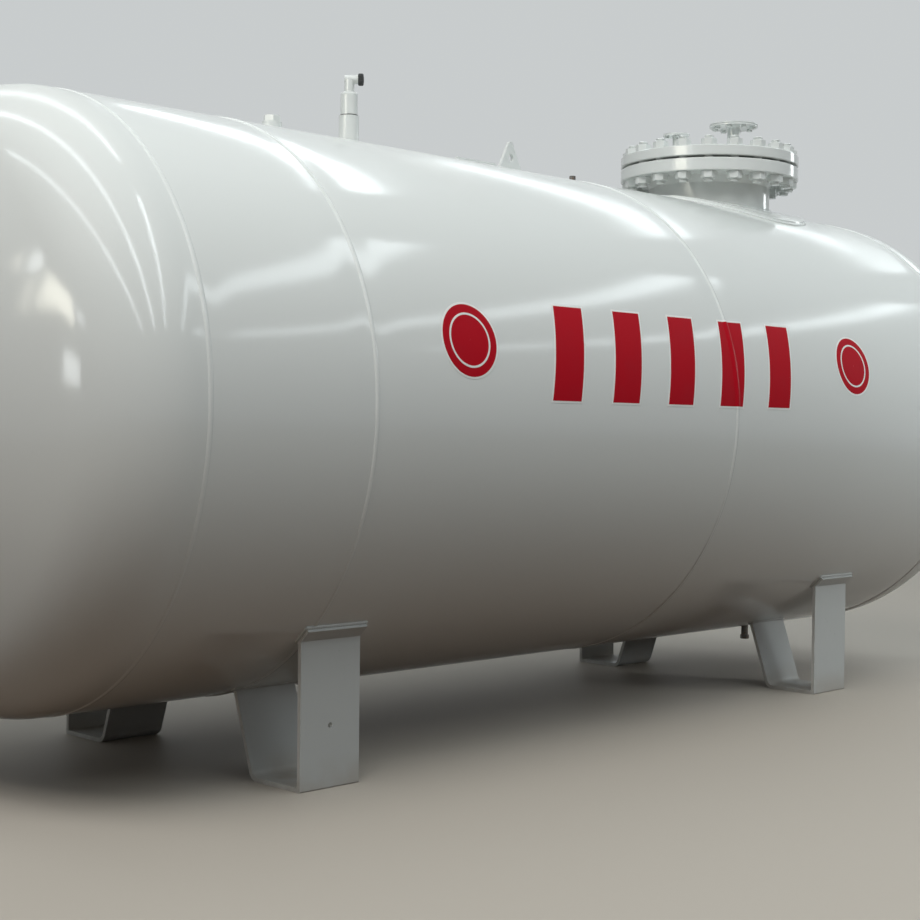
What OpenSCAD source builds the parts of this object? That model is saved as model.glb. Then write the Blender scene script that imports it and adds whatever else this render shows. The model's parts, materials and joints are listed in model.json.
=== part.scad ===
// Horizontal pressure tank: welded steel shell with dished ends on four folded strip legs.
// Frame: X along the tank, +Y to the back, +Z up. Origin on the floor, at mid length on the centre line.

/* [Vessel] */
// outside diameter of the shell
tank_d = 1600; // [1200:10:2200]
// plate thickness of shell and heads
wall_t = 10; // [8:1:16]
// length of the short first ring
short_course_len = 500; // [400:10:900]
// length of each of the two long rings
long_course_len = 1500; // [1300:10:2000]
// straight part of a head, from its weld to where it starts to curve
straight_flange = 38; // [25:1:60]
// crown radius of a head as a share of the tank diameter
crown_ratio = 0.9; // [0.85:0.01:1.0]
// knuckle radius of a head as a share of the tank diameter
knuckle_ratio = 0.17; // [0.15:0.005:0.18]
// width of a round weld bead
bead_w = 14; // [10:1:20]
// height of a round weld bead over the plate
bead_h = 2.5; // [1.5:0.5:4]
// width of the weld bead along a ring
long_bead_w = 12; // [8:1:16]
// height of the weld bead along a ring
long_bead_h = 2; // [1:0.5:3]
// place of that bead on the two outer rings, in degrees from the top line towards the back
long_bead_a = 50; // [40:1:80]
// how many degrees nearer to the top line it lies on the middle ring
long_bead_step = 20; // [10:1:35]

/* [Legs] */
// free height under the tank
clearance = 184; // [150:1:350]
// distance of the two pairs of legs, centre to centre
leg_span = 2370; // [1800:2:2800]
// distance of the middle between the two pairs from mid length
leg_mid = 7; // [-20:1:20]
// width of the folded strip
strip_w = 200; // [120:5:300]
// thickness of the folded strip
strip_t = 12; // [10:1:20]
// place where the outer face of a leg meets the shell, in degrees from the bottom line
lip_a = 43.4; // [36:0.2:50]
// length of the lip that lies along the shell
lip_len = 40; // [25:1:60]
// width of the foot on the floor, to where the inner plate would meet it
foot_w = 200; // [150:5:260]
// lean of the inner plate from upright, in degrees
inner_lean = 19; // [5:1:30]
// outside radius of the inner bend
bend_r = 35; // [30:1:60]
// outside radius of the sharp outer bend
corner_r = 4; // [2:1:10]
// diameter of the earthing hole
earth_hole_d = 14; // [8:1:20]
// height of the earthing hole over the floor
earth_hole_z = 163; // [100:1:200]

/* [Manhole] */
// distance of the manhole from mid length
manhole_x = 1170; // [900:1:1300]
// outside diameter of the neck
neck_d = 457; // [400:1:500]
// wall of the neck
neck_t = 16; // [10:1:25]
// height of the flange underside over the shell
neck_rise = 99; // [80:1:200]
// outside diameter of the reinforcing pad
pad_d = 720; // [650:5:800]
// thickness of the reinforcing pad
pad_t = 12; // [8:1:16]
// height of the cone that joins the flange to the neck
hub_h = 28; // [15:1:40]
// how far that cone widens on each side
hub_out = 13; // [8:1:18]
// outside diameter of flange and cover
flange_d = 670; // [650:5:760]
// bolt circle of flange and cover
bolt_circle_d = 600; // [590:1:610]
// number of bolt holes
bolt_count = 20; // [12:4:24]
// diameter of a bolt hole
bolt_hole_d = 36; // [28:1:40]
// thickness of the flange
flange_t = 46; // [30:1:60]
// thickness of the cover
cover_t = 38; // [30:1:60]
// diameter of the raised face
face_d = 548; // [500:2:552]
// height of the raised face
face_h = 2; // [1:0.5:4]
// thickness of the gasket
gasket_t = 4.5; // [2:0.5:5]
// how far the gasket stands back from the bore
gasket_back = 5; // [2:1:12]
// bevel of the rims
rim_bevel = 3; // [1:0.5:5]

/* [Cover nozzles] */
// large nozzle: distance from the cover centre
large_x = 156; // [120:1:170]
// large nozzle: outside diameter of the pipe
large_pipe_d = 48; // [40:1:76]
// large nozzle: wall of the pipe
large_pipe_t = 5; // [3:0.5:8]
// large nozzle: height of the flange underside over the cover
large_rise = 140; // [80:1:180]
// large nozzle: outside diameter of the thin flange
large_flange_d = 185; // [175:1:220]
// large nozzle: thickness of the flange
large_flange_t = 6; // [5:1:20]
// large nozzle: thickness of the gasket
large_gasket_t = 1; // [1:0.5:3]
// large nozzle: outside diameter of the gasket
large_gasket_d = 115; // [100:1:120]
// large nozzle: thickness of the blind
large_blind_t = 5; // [4:1:20]
// large nozzle: bolt circle
large_circle_d = 145; // [140:1:155]
// large nozzle: number of bolt holes
large_count = 8; // [4:4:8]
// large nozzle: diameter of a bolt hole
large_hole_d = 14; // [10:1:18]
// small nozzle: distance from the cover centre
small_x = 207; // [190:1:220]
// small nozzle: outside diameter of the pipe
small_pipe_d = 26; // [20:1:34]
// small nozzle: wall of the pipe
small_pipe_t = 3; // [2:0.5:5]
// small nozzle: height of the flange underside over the cover
small_rise = 57; // [50:1:120]
// small nozzle: outside diameter of the thin flange
small_flange_d = 97; // [90:1:110]
// small nozzle: thickness of the flange
small_flange_t = 4; // [4:1:14]
// small nozzle: thickness of the blind
small_blind_t = 4; // [4:1:14]
// small nozzle: bolt circle
small_circle_d = 70; // [65:1:75]
// small nozzle: number of bolt holes
small_count = 4; // [4:4:8]
// small nozzle: diameter of a bolt hole
small_hole_d = 12; // [8:1:14]

/* [Slim valve] */
// distance from mid length
valve_x = -655; // [-900:1:-400]
// outside diameter of the base
valve_base_d = 61; // [56:1:80]
// height of the base over the shell
valve_base_h = 91; // [60:1:120]
// outside diameter of the body
valve_body_d = 52; // [44:1:56]
// height of the body
valve_body_h = 72; // [60:1:110]
// rounding of the shoulder of the body
valve_shoulder_r = 9; // [4:1:10]
// diameter of the neck over the body
valve_neck_d = 30; // [24:1:34]
// height from the shoulder to the middle of the side arm
valve_arm_rise = 39; // [30:1:60]
// diameter of the side arm
valve_arm_d = 27; // [20:1:32]
// reach of the side arm on its plain side
valve_arm_back = 14; // [10:1:30]
// reach of the side arm to its cap
valve_arm_out = 27; // [25:1:60]
// direction of the side arm in degrees, 0 is along the tank
valve_turn = -45; // [-180:5:180]
// diameter of the cap
valve_cap_d = 37; // [30:1:45]
// length of the cap
valve_cap_len = 17; // [10:1:30]

/* [Small fittings] */
// thread clearance all round a plug
thread_gap = 0.2; // [0.1:0.1:0.5]
// top plug: distance from mid length
plug_x = -951; // [-1150:1:-850]
// top plug: outside diameter of its coupling
coupling_d = 58; // [50:1:70]
// top plug: bore of its coupling
coupling_bore_d = 34; // [24:1:40]
// top plug: height of its coupling over the shell
coupling_h = 32; // [20:1:60]
// top plug: width of its head across the corners
plug_head_d = 52; // [40:1:56]
// top plug: height of its head
plug_head_h = 18; // [12:1:25]
// top plug: length of its shank in the coupling
plug_shank_h = 20; // [10:1:25]
// lifting lug: distance from mid length
lug_x = 57; // [-150:1:150]
// lifting lug: length along the shell
lug_len = 113; // [90:1:160]
// lifting lug: length of its top edge
lug_top = 12; // [8:1:60]
// lifting lug: height over the shell
lug_h = 109; // [80:1:140]
// lifting lug: height of its square shoulder
lug_shoulder = 10; // [6:1:20]
// lifting lug: plate thickness
lug_t = 12; // [10:1:20]
// lifting lug: diameter of the eye
lug_eye_d = 25; // [20:1:30]
// lifting lug: height of the eye over the shell
lug_eye_h = 55; // [40:1:60]
// flat bar beside the lug: free gap to the lug
bar_gap = 14; // [10:1:80]
// flat bar beside the lug: length
bar_len = 180; // [100:1:200]
// flat bar beside the lug: height over the shell
bar_h = 28; // [20:1:60]
// flat bar beside the lug: thickness
bar_t = 10; // [6:1:20]
// sensor plug: distance from mid length
sensor_x = 378; // [300:1:600]
// sensor plug: diameter of the rod through the wall
sensor_d = 16; // [12:1:20]
// sensor plug: width of its head across the corners
sensor_head_d = 22; // [22:1:36]
// sensor plug: height of the collar under its head
sensor_collar_h = 17; // [10:1:25]
// sensor plug: height of its head
sensor_head_h = 16; // [10:1:20]
// drain: distance from mid length
drain_x = 1450; // [1360:1:1600]
// drain: outside diameter of its coupling
drain_d = 27; // [24:1:34]
// drain: bore of its coupling
drain_bore_d = 19; // [12:1:20]
// drain: height of its coupling under the shell
drain_h = 50; // [18:1:60]
// drain: width of the plug head across the corners
drain_head_d = 34; // [30:1:36]
// drain: height of the plug head
drain_head_h = 16; // [10:1:20]
// drain: length of the plug shank in the coupling
drain_shank_h = 15; // [10:1:18]

/* [Hidden] */
$fn = 96;
tank_r = tank_d / 2;
shell_len = short_course_len + 2 * long_course_len;
seam_x = [-shell_len / 2, short_course_len - shell_len / 2,
  short_course_len + long_course_len - shell_len / 2, shell_len / 2];
axis_z = clearance + tank_r;
top_z = axis_z + tank_r;
knuckle_r = knuckle_ratio * tank_d;
crown_r = crown_ratio * tank_d;
crown_z = straight_flange - sqrt(pow(crown_r - knuckle_r, 2) - pow(tank_r - knuckle_r, 2));
join_a = asin((tank_r - knuckle_r) / (crown_r - knuckle_r));
head_len = crown_z + crown_r;
bead_gap = 0.3;
seat_gap = 0.1;
bead_r = (bead_w * bead_w / 4 + bead_h * bead_h) / (2 * bead_h);
long_bead_r = (long_bead_w * long_bead_w / 4 + long_bead_h * long_bead_h) / (2 * long_bead_h);
flange_z = top_z + neck_rise;
neck_bore_d = neck_d - 2 * neck_t;
gasket_z = flange_z + flange_t + face_h;
cover_z = gasket_z + gasket_t + face_h;
cover_top_z = cover_z + cover_t;
leg_reach = tank_r * sin(lip_a);
left_leg_x = leg_mid - leg_span / 2;
right_leg_x = leg_mid + leg_span / 2;
valve_arm_z = top_z + valve_base_h + valve_body_h + valve_arm_rise;
far = 4 * tank_d;
past = 1;

// puts a turned piece on the axis of the tank, its height pointing along +X
module on_axis(x) {
  translate([x, 0, axis_z]) rotate([0, 90, 0]) children();
}

// cylinder about the axis of the tank, from x0 over a length
module tank_core(x0, len, r) {
  on_axis(x0) cylinder(r = r, h = len, $fn = 256);
}

module bore_up(x, d) {
  translate([x, 0, axis_z]) cylinder(d = d, h = far);
}

module bore_down(x, d) {
  translate([x, 0, axis_z - far]) cylinder(d = d, h = far);
}

module ring_plate(x, len) {
  on_axis(x) difference() {
    cylinder(r = tank_r, h = len);
    translate([0, 0, -past]) cylinder(r = tank_r - wall_t, h = len + 2 * past);
  }
}

// half outline of a dished end in radius and height, inset by the plate for its inner face
module head_outline(inset) {
  rim_r = crown_r - inset;
  intersection() {
    square([tank_d, tank_d]);
    union() {
      intersection() {
        translate([0, crown_z]) circle(r = rim_r, $fn = 256);
        translate([0, crown_z]) polygon([[0, 0], [0, far], [far * tan(join_a), far]]);
      }
      translate([tank_r - knuckle_r, straight_flange]) circle(r = knuckle_r - inset);
      polygon([[0, 0], [tank_r - inset, 0], [tank_r - inset, straight_flange],
        [tank_r - knuckle_r, straight_flange],
        [rim_r * sin(join_a), crown_z + rim_r * cos(join_a)],
        [0, crown_z + rim_r * cos(join_a)]]);
    }
  }
}

module dished_head() {
  rotate_extrude($fn = 128) difference() {
    head_outline(0);
    head_outline(wall_t);
  }
}

module girth_bead(x) {
  color([0.9, 0.91, 0.9]) on_axis(x) rotate_extrude($fn = 128) intersection() {
    translate([tank_r + bead_h - bead_r, 0]) circle(r = bead_r);
    translate([tank_r, -bead_w]) square([bead_h + past, 2 * bead_w]);
  }
}

// bead along one ring, between its two round beads, turned from the top line towards the back
module long_bead(x, len, turn) {
  color([0.9, 0.91, 0.9]) on_axis(x + bead_w / 2) rotate([0, 0, 180 - turn])
    linear_extrude(len - bead_w) intersection() {
      translate([tank_r + long_bead_h - long_bead_r, 0]) circle(r = long_bead_r);
      translate([tank_r + seat_gap, -long_bead_w]) square([long_bead_h + past, 2 * long_bead_w]);
    }
}

module shell_course_left() {
  color([0.86, 0.88, 0.87]) ring_plate(seam_x[0], short_course_len);
}

module shell_course_middle() {
  color([0.86, 0.88, 0.87]) difference() {
    ring_plate(seam_x[1], long_course_len);
    bore_up(valve_x, valve_base_d);
    bore_up(plug_x, coupling_d);
  }
}

module shell_course_right() {
  color([0.86, 0.88, 0.87]) difference() {
    ring_plate(seam_x[2], long_course_len);
    bore_up(manhole_x, neck_d);
    bore_up(sensor_x, sensor_d);
    bore_down(drain_x, drain_d);
  }
}

module head_right() {
  color([0.86, 0.88, 0.87]) on_axis(seam_x[3]) dished_head();
}

module head_left() {
  color([0.86, 0.88, 0.87]) mirror([1, 0, 0]) on_axis(-seam_x[0]) dished_head();
}

module girth_weld_1() {
  girth_bead(seam_x[0]);
}

module girth_weld_2() {
  girth_bead(seam_x[1]);
}

module girth_weld_3() {
  girth_bead(seam_x[2]);
}

module girth_weld_4() {
  girth_bead(seam_x[3]);
}

module long_weld_left() {
  long_bead(seam_x[0], short_course_len, long_bead_a);
}

module long_weld_middle() {
  long_bead(seam_x[1], long_course_len, long_bead_a - long_bead_step);
}

module long_weld_right() {
  long_bead(seam_x[2], long_course_len, long_bead_a);
}

function arc(centre, r, a0, a1, n) =
  [for (i = [0 : n]) centre + r * [cos(a0 + (a1 - a0) * i / n), sin(a0 + (a1 - a0) * i / n)]];

// point on a line that lies along the shell at the lip, off from the axis and s along it, outwards and up
function lip_point(off, s) =
  [sin(lip_a) * off + s * cos(lip_a), axis_z - off * cos(lip_a) + s * sin(lip_a)];

// section of a folded leg, the distance from the centre line to the right and the height up
module leg_section() {
  under = tank_r + strip_t;
  s0 = (tank_r - under) * tan(lip_a);
  bend = [leg_reach - foot_w + bend_r * tan((90 - inner_lean) / 2), bend_r];
  up = tank_r / 2 * [-sin(inner_lean), cos(inner_lean)];
  out = [-cos(inner_lean), -sin(inner_lean)];
  polygon(concat(
    [lip_point(under, s0), lip_point(under, s0 + lip_len), lip_point(tank_r - past, s0 + lip_len),
      lip_point(tank_r - past, s0 - strip_t),
      [leg_reach - strip_t, axis_z - tank_r * cos(lip_a) - 2 * strip_t]],
    arc([leg_reach - strip_t - corner_r, strip_t + corner_r], corner_r, 0, -90, 6),
    arc(bend, bend_r - strip_t, 270, 180 + inner_lean, 12),
    [bend + (bend_r - strip_t) * out + up, bend + bend_r * out + up],
    arc(bend, bend_r, 180 + inner_lean, 270, 12),
    arc([leg_reach - corner_r, corner_r], corner_r, -90, 0, 6)));
}

// one leg at x along the tank, shaped to the shell and relieved where it crosses a weld bead
module folded_leg(x) {
  difference() {
    translate([x - strip_w / 2, 0, 0]) rotate([90, 0, 90]) linear_extrude(strip_w) leg_section();
    tank_core(x - strip_w, 2 * strip_w, tank_r);
    for (seam = seam_x)
      tank_core(seam - bead_w / 2 - bead_gap, bead_w + 2 * bead_gap, tank_r + bead_h + bead_gap);
  }
}

module leg_back_left() {
  color([0.72, 0.73, 0.71]) folded_leg(left_leg_x);
}

module leg_back_right() {
  color([0.72, 0.73, 0.71]) folded_leg(right_leg_x);
}

module leg_front_left() {
  color([0.72, 0.73, 0.71]) difference() {
    mirror([0, 1, 0]) folded_leg(left_leg_x);
    translate([left_leg_x, -leg_reach - past, earth_hole_z]) rotate([-90, 0, 0])
      cylinder(d = earth_hole_d, h = strip_t + 2 * past);
  }
}

module leg_front_right() {
  color([0.72, 0.73, 0.71]) mirror([0, 1, 0]) folded_leg(right_leg_x);
}

module manhole_pad() {
  color([0.84, 0.86, 0.85]) intersection() {
    difference() {
      tank_core(manhole_x - pad_d, 2 * pad_d, tank_r + pad_t);
      tank_core(manhole_x - pad_d - past, 2 * (pad_d + past), tank_r);
    }
    translate([manhole_x, 0, axis_z]) difference() {
      cylinder(d = pad_d, h = far);
      cylinder(d = neck_d, h = far);
    }
  }
}

module manhole_neck() {
  color([0.84, 0.86, 0.85]) difference() {
    translate([manhole_x, 0, axis_z + tank_r / 2]) cylinder(d = neck_d, h = tank_r / 2 + neck_rise - hub_h);
    bore_up(manhole_x, neck_bore_d);
    tank_core(manhole_x - neck_d, 2 * neck_d, tank_r - wall_t);
  }
}

// bolt holes right through, the first one in line with the tank
module hole_circle(circle_d, count, hole_d) {
  for (k = [0 : count - 1]) rotate([0, 0, k * 360 / count])
    translate([circle_d / 2, 0, -far]) cylinder(d = hole_d, h = 2 * far, $fn = 32);
}

module manhole_flange() {
  rim = flange_d / 2;
  color([0.84, 0.86, 0.85]) translate([manhole_x, 0, flange_z]) difference() {
    rotate_extrude() polygon([[neck_bore_d / 2, -hub_h], [neck_d / 2, -hub_h], [neck_d / 2 + hub_out, 0],
      [rim - rim_bevel, 0], [rim, rim_bevel], [rim, flange_t - rim_bevel], [rim - rim_bevel, flange_t],
      [face_d / 2, flange_t], [face_d / 2, flange_t + face_h], [neck_bore_d / 2, flange_t + face_h]]);
    hole_circle(bolt_circle_d, bolt_count, bolt_hole_d);
  }
}

module flat_ring(d, inner_d, t) {
  difference() {
    cylinder(d = d, h = t);
    translate([0, 0, -past]) cylinder(d = inner_d, h = t + 2 * past);
  }
}

module manhole_gasket() {
  color([0.2, 0.2, 0.2]) translate([manhole_x, 0, gasket_z])
    flat_ring(face_d, neck_bore_d + 2 * gasket_back, gasket_t);
}

module manhole_cover() {
  rim = flange_d / 2;
  color([0.84, 0.86, 0.85]) translate([manhole_x, 0, cover_z]) difference() {
    rotate_extrude() polygon([[0, -face_h], [face_d / 2, -face_h], [face_d / 2, 0], [rim - rim_bevel, 0],
      [rim, rim_bevel], [rim, cover_t - rim_bevel], [rim - rim_bevel, cover_t], [0, cover_t]]);
    hole_circle(bolt_circle_d, bolt_count, bolt_hole_d);
    translate([large_x, 0, -far]) cylinder(d = large_pipe_d, h = 2 * far);
    translate([-small_x, 0, -far]) cylinder(d = small_pipe_d, h = 2 * far);
  }
}

// pipe that passes through the cover and stands rise over it
module pipe_stub(d, wall, rise) {
  len = face_h + cover_t + rise;
  translate([0, 0, cover_z - face_h]) difference() {
    cylinder(d = d, h = len);
    translate([0, 0, -past]) cylinder(d = d - 2 * wall, h = len + 2 * past);
  }
}

// thin round plate with bolt holes and an inner hole of its own where there is one
module bolted_plate(d, t, inner_d, circle_d, count, hole_d) {
  difference() {
    cylinder(d = d, h = t);
    if (inner_d > 0) translate([0, 0, -past]) cylinder(d = inner_d, h = t + 2 * past);
    rotate([0, 0, 180 / count]) hole_circle(circle_d, count, hole_d);
  }
}

module large_nozzle_pipe() {
  color([0.84, 0.86, 0.85]) translate([manhole_x + large_x, 0, 0])
    pipe_stub(large_pipe_d, large_pipe_t, large_rise);
}

module large_nozzle_flange() {
  color([0.84, 0.86, 0.85]) translate([manhole_x + large_x, 0, cover_top_z + large_rise])
    bolted_plate(large_flange_d, large_flange_t, large_pipe_d - 2 * large_pipe_t,
      large_circle_d, large_count, large_hole_d);
}

module large_nozzle_gasket() {
  color([0.2, 0.2, 0.2]) translate([manhole_x + large_x, 0, cover_top_z + large_rise + large_flange_t])
    flat_ring(large_gasket_d, large_pipe_d, large_gasket_t);
}

module large_nozzle_blind() {
  color([0.84, 0.86, 0.85])
    translate([manhole_x + large_x, 0, cover_top_z + large_rise + large_flange_t + large_gasket_t])
      bolted_plate(large_flange_d, large_blind_t, 0, large_circle_d, large_count, large_hole_d);
}

module small_nozzle_pipe() {
  color([0.84, 0.86, 0.85]) translate([manhole_x - small_x, 0, 0])
    pipe_stub(small_pipe_d, small_pipe_t, small_rise);
}

module small_nozzle_flange() {
  color([0.84, 0.86, 0.85]) translate([manhole_x - small_x, 0, cover_top_z + small_rise])
    bolted_plate(small_flange_d, small_flange_t, small_pipe_d - 2 * small_pipe_t,
      small_circle_d, small_count, small_hole_d);
}

module small_nozzle_blind() {
  color([0.84, 0.86, 0.85]) translate([manhole_x - small_x, 0, cover_top_z + small_rise + small_flange_t])
    bolted_plate(small_flange_d, small_blind_t, 0, small_circle_d, small_count, small_hole_d);
}

// short pipe that passes through the wall, ends at the inner face of the plate and stands rise over the shell
module set_in_pipe(x, d, bore_d, rise) {
  difference() {
    translate([x, 0, axis_z + tank_r / 2]) cylinder(d = d, h = tank_r / 2 + rise);
    if (bore_d > 0) bore_up(x, bore_d);
    tank_core(x - d, 2 * d, tank_r - wall_t);
  }
}

// six-sided head with its upper corners turned down by 30 degrees, standing on z = 0
module hex_head(d, h) {
  flats = d * cos(30);
  intersection() {
    cylinder(d = d, h = h, $fn = 6);
    cylinder(d1 = flats + 2 * h / tan(30), d2 = flats, h = h);
  }
}

module valve_base() {
  color([0.84, 0.86, 0.85]) set_in_pipe(valve_x, valve_base_d, valve_base_d / 2, valve_base_h);
}

module valve_body() {
  body_r = valve_body_d / 2;
  neck_r = valve_neck_d / 2;
  color([0.84, 0.86, 0.85]) translate([valve_x, 0, top_z + valve_base_h]) rotate([0, 0, valve_turn]) {
    rotate_extrude() polygon(concat([[0, 0], [body_r, 0]],
      arc([body_r - valve_shoulder_r, valve_body_h - valve_shoulder_r], valve_shoulder_r, 0, 90, 8),
      [[neck_r, valve_body_h], [neck_r, valve_body_h + valve_arm_rise], [0, valve_body_h + valve_arm_rise]]));
    translate([-valve_arm_back, 0, valve_body_h + valve_arm_rise]) rotate([0, 90, 0])
      cylinder(d = valve_arm_d, h = valve_arm_back + valve_arm_out);
  }
}

module valve_side_cap() {
  color([0.1, 0.1, 0.1]) translate([valve_x, 0, valve_arm_z]) rotate([0, 0, valve_turn])
    translate([valve_arm_out, 0, 0]) rotate([0, 90, 0]) cylinder(d = valve_cap_d, h = valve_cap_len);
}

module top_coupling() {
  color([0.84, 0.86, 0.85]) set_in_pipe(plug_x, coupling_d, coupling_bore_d, coupling_h);
}

module top_plug() {
  color([0.84, 0.86, 0.85]) translate([plug_x, 0, top_z + coupling_h]) {
    hex_head(plug_head_d, plug_head_h);
    translate([0, 0, -plug_shank_h]) cylinder(d = coupling_bore_d - 2 * thread_gap, h = plug_shank_h + past);
  }
}

module lifting_lug() {
  foot_z = top_z - wall_t;
  color([0.84, 0.86, 0.85]) difference() {
    translate([lug_x, lug_t / 2, 0]) rotate([90, 0, 0]) linear_extrude(lug_t) difference() {
      polygon([[-lug_len / 2, foot_z], [lug_len / 2, foot_z], [lug_len / 2, top_z + lug_shoulder],
        [lug_top / 2, top_z + lug_h], [-lug_top / 2, top_z + lug_h], [-lug_len / 2, top_z + lug_shoulder]]);
      translate([0, top_z + lug_eye_h]) circle(d = lug_eye_d);
    }
    tank_core(lug_x - lug_len, 2 * lug_len, tank_r);
  }
}

module lug_strip() {
  bar_end = lug_x - lug_len / 2 - bar_gap;
  color([0.84, 0.86, 0.85]) difference() {
    translate([bar_end - bar_len, -bar_t / 2, top_z - wall_t]) cube([bar_len, bar_t, wall_t + bar_h]);
    tank_core(bar_end - 2 * bar_len, 2 * bar_len + bar_gap, tank_r);
  }
}

module sensor_plug() {
  color([0.15, 0.15, 0.15]) {
    set_in_pipe(sensor_x, sensor_d, 0, sensor_collar_h + past);
    translate([sensor_x, 0, top_z + sensor_collar_h]) hex_head(sensor_head_d, sensor_head_h);
  }
}

module drain_coupling() {
  color([0.15, 0.13, 0.12]) difference() {
    translate([drain_x, 0, clearance - drain_h]) cylinder(d = drain_d, h = drain_h + tank_r / 2);
    bore_down(drain_x, drain_bore_d);
    tank_core(drain_x - drain_d, 2 * drain_d, tank_r - wall_t);
  }
}

module drain_plug() {
  color([0.15, 0.13, 0.12]) translate([drain_x, 0, clearance - drain_h]) {
    rotate([180, 0, 0]) hex_head(drain_head_d, drain_head_h);
    translate([0, 0, -past]) cylinder(d = drain_bore_d - 2 * thread_gap, h = drain_shank_h + past);
  }
}

shell_course_left();
shell_course_middle();
shell_course_right();
head_left();
head_right();
girth_weld_1();
girth_weld_2();
girth_weld_3();
girth_weld_4();
long_weld_left();
long_weld_middle();
long_weld_right();
leg_front_left();
leg_front_right();
leg_back_left();
leg_back_right();
manhole_pad();
manhole_neck();
manhole_flange();
manhole_gasket();
manhole_cover();
large_nozzle_pipe();
large_nozzle_flange();
large_nozzle_gasket();
large_nozzle_blind();
small_nozzle_pipe();
small_nozzle_flange();
small_nozzle_blind();
valve_base();
valve_body();
valve_side_cap();
top_coupling();
top_plug();
lifting_lug();
lug_strip();
sensor_plug();
drain_coupling();
drain_plug();
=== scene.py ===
# %% [markdown]
# # A horizontal gas tank, dressed in Blender
#
# The solids come in as a fixed frame: welded rings, dished ends, folded legs, a bolted manhole and
# small fittings. This lesson gives them enamel, welds, studs, red marks, a floor and light. Lengths
# are metres, X runs along the tank to the manhole end, Y goes to the back, Z up from the floor.

# %% Load the frame
import json
import math

import bmesh
import bpy
import numpy as np
from mathutils import Matrix, Vector


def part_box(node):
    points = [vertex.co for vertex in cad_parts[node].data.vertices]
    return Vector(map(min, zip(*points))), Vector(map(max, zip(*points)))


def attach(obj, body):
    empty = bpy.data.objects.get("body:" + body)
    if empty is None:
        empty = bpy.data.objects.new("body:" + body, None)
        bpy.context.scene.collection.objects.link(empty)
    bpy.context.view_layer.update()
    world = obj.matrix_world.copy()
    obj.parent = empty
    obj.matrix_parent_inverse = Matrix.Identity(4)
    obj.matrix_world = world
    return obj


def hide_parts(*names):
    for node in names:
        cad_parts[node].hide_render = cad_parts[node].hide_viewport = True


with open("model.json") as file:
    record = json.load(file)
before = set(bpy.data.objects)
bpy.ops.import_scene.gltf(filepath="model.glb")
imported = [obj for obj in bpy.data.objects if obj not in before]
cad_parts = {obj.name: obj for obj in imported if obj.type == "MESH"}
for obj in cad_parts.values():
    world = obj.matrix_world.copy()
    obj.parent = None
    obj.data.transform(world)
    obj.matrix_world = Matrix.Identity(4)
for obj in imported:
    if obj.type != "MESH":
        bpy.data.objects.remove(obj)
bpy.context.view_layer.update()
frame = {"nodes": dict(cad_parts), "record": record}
nodes = frame["nodes"]

# %% [markdown]
# ## The eye
#
# The eye is near the left end, a little under a metre from the floor, and looks along the tank
# almost level. Three unit vectors say how the camera lies: to its right, up, and back. Making them
# from a heading, a dip and a small tilt keeps every value one that could be read off a tripod head.

# %% Camera
EYE = Vector((-3.9327, -3.7471, 0.9275))
HEADING, DIP, TILT = math.radians(44.81), math.radians(-1.03), math.radians(0.675)
SENSOR_MM = 36.0
FOCUS_PIXELS, PICTURE_PIXELS = 1634.0, 920.0

forward = Vector((math.cos(HEADING) * math.cos(DIP), math.sin(HEADING) * math.cos(DIP), math.sin(DIP)))
level_right = Vector((math.sin(HEADING), -math.cos(HEADING), 0.0))
level_up = level_right.cross(forward)
right = level_right * math.cos(TILT) + level_up * math.sin(TILT)
up = level_up * math.cos(TILT) - level_right * math.sin(TILT)

camera_data = bpy.data.cameras.new("eye")
camera_data.sensor_fit = "HORIZONTAL"
camera_data.sensor_width = SENSOR_MM
camera_data.lens = FOCUS_PIXELS / PICTURE_PIXELS * SENSOR_MM
camera = bpy.data.objects.new("eye", camera_data)
camera.matrix_world = Matrix.Translation(EYE) @ Matrix((right, up, -forward)).transposed().to_4x4()
bpy.context.scene.collection.objects.link(camera)
bpy.context.scene.camera = camera
print("lens:", round(camera_data.lens, 2), "mm")

# %% [markdown]
# ## Sizes from the frame
#
# Every piece below sits on a CAD node, so its place is read from the node's box or from a mount in
# the record, not typed again. The shell is a cylinder about a level axis: its middle ring gives the
# radius and the height of the axis, and the ends of the rings give the four round seams.

# %% Radius, axis, seams and the manhole
low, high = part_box("shell_course_middle")
RADIUS = (high.z - low.z) / 2
AXIS_Z = (high.z + low.z) / 2
SEAMS = [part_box("shell_course_left")[0].x, low.x, high.x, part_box("shell_course_right")[1].x]
mounts = {mount["name"]: mount for mount in frame["record"]["mounts"]}
MANHOLE_X = mounts["manhole_bolts"]["pos_m"][0]
COVER_TOP = mounts["manhole_bolts"]["pos_m"][2]
print("radius", round(RADIUS, 4), "axis at", round(AXIS_Z, 4), "seams", [round(x, 3) for x in SEAMS])

# %% [markdown]
# ## Shader sums written as sums
#
# A finish is arithmetic: dust where the plate looks up, times a cloud, plus a little everywhere.
# Wrapping a socket in a small class lets that be typed as `up * cloud + 0.1`; each operator adds
# its Math node. Colours would turn grey in a Math node, so they are blended by a Mix node instead.

# %% A socket that can be added and multiplied
class Signal:
    """A number or colour on its way through one paint's nodes."""

    def __init__(self, paint, socket):
        self.paint = paint
        self.socket = socket

    def by(self, operation, first, second):
        return self.paint.add("ShaderNodeMath", {"operation": operation}, {0: first, 1: second})

    def __add__(self, other):
        return self.by("ADD", self, other)

    def __sub__(self, other):
        return self.by("SUBTRACT", self, other)

    def __rsub__(self, other):
        return self.by("SUBTRACT", other, self)

    def __mul__(self, other):
        return self.by("MULTIPLY", self, other)

    __radd__ = __add__
    __rmul__ = __mul__

# %% [markdown]
# ## A paint and its nodes
#
# One class holds a material. `add` makes any node: its kind, its settings, then what goes into its
# sockets, as plain values or as signals. Places come from Object coordinates; every object here
# sits at the origin, so they are metres in the frame, and a pattern runs on from piece to piece.

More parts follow.
